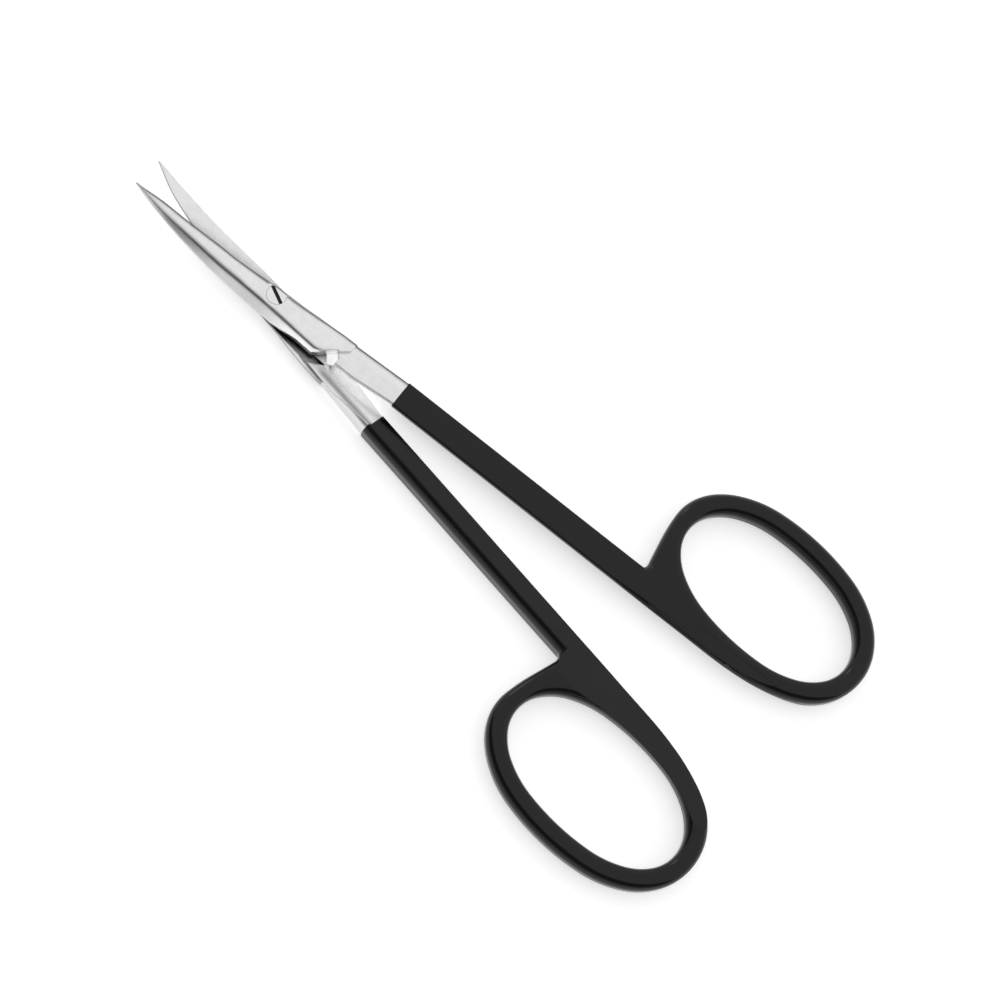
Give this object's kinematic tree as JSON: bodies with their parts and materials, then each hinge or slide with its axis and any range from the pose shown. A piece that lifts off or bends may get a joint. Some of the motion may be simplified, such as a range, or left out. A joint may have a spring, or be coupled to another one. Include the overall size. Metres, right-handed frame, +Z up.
{
  "type": "surgical scissors",
  "caption": "Fine surgical scissors with curved narrow blades, a screw pivot, bare steel blades and black coated finger-ring handles.",
  "frame": {"origin": "on the pivot axis, level with the underside of the lower half at the joint", "axes": "+X from the pivot towards the blade points, midway between the two handles; +Z up along the pivot axis, from the lower half to the half with the screw head"},
  "size_m": [0.1144, 0.0559, 0.0063],
  "materials": {
    "steel": "fine satin",
    "coat": "gloss black coat",
    "screw": "satin"
  },
  "bodies": {
    "lower_half": {"far_blade_half": "steel", "far_handle_coat": "coat", "pivot_screw": "screw"},
    "upper_half": {"near_blade_half": "steel", "near_handle_coat": "coat"}
  },
  "joints": [
    {"name": "pivot", "type": "hinge", "parent": "lower_half", "child": "upper_half", "pos_m": [0, 0, 0.0018], "axis": [0, 0, 1], "range_deg": [-10.8, 50]}
  ]
}
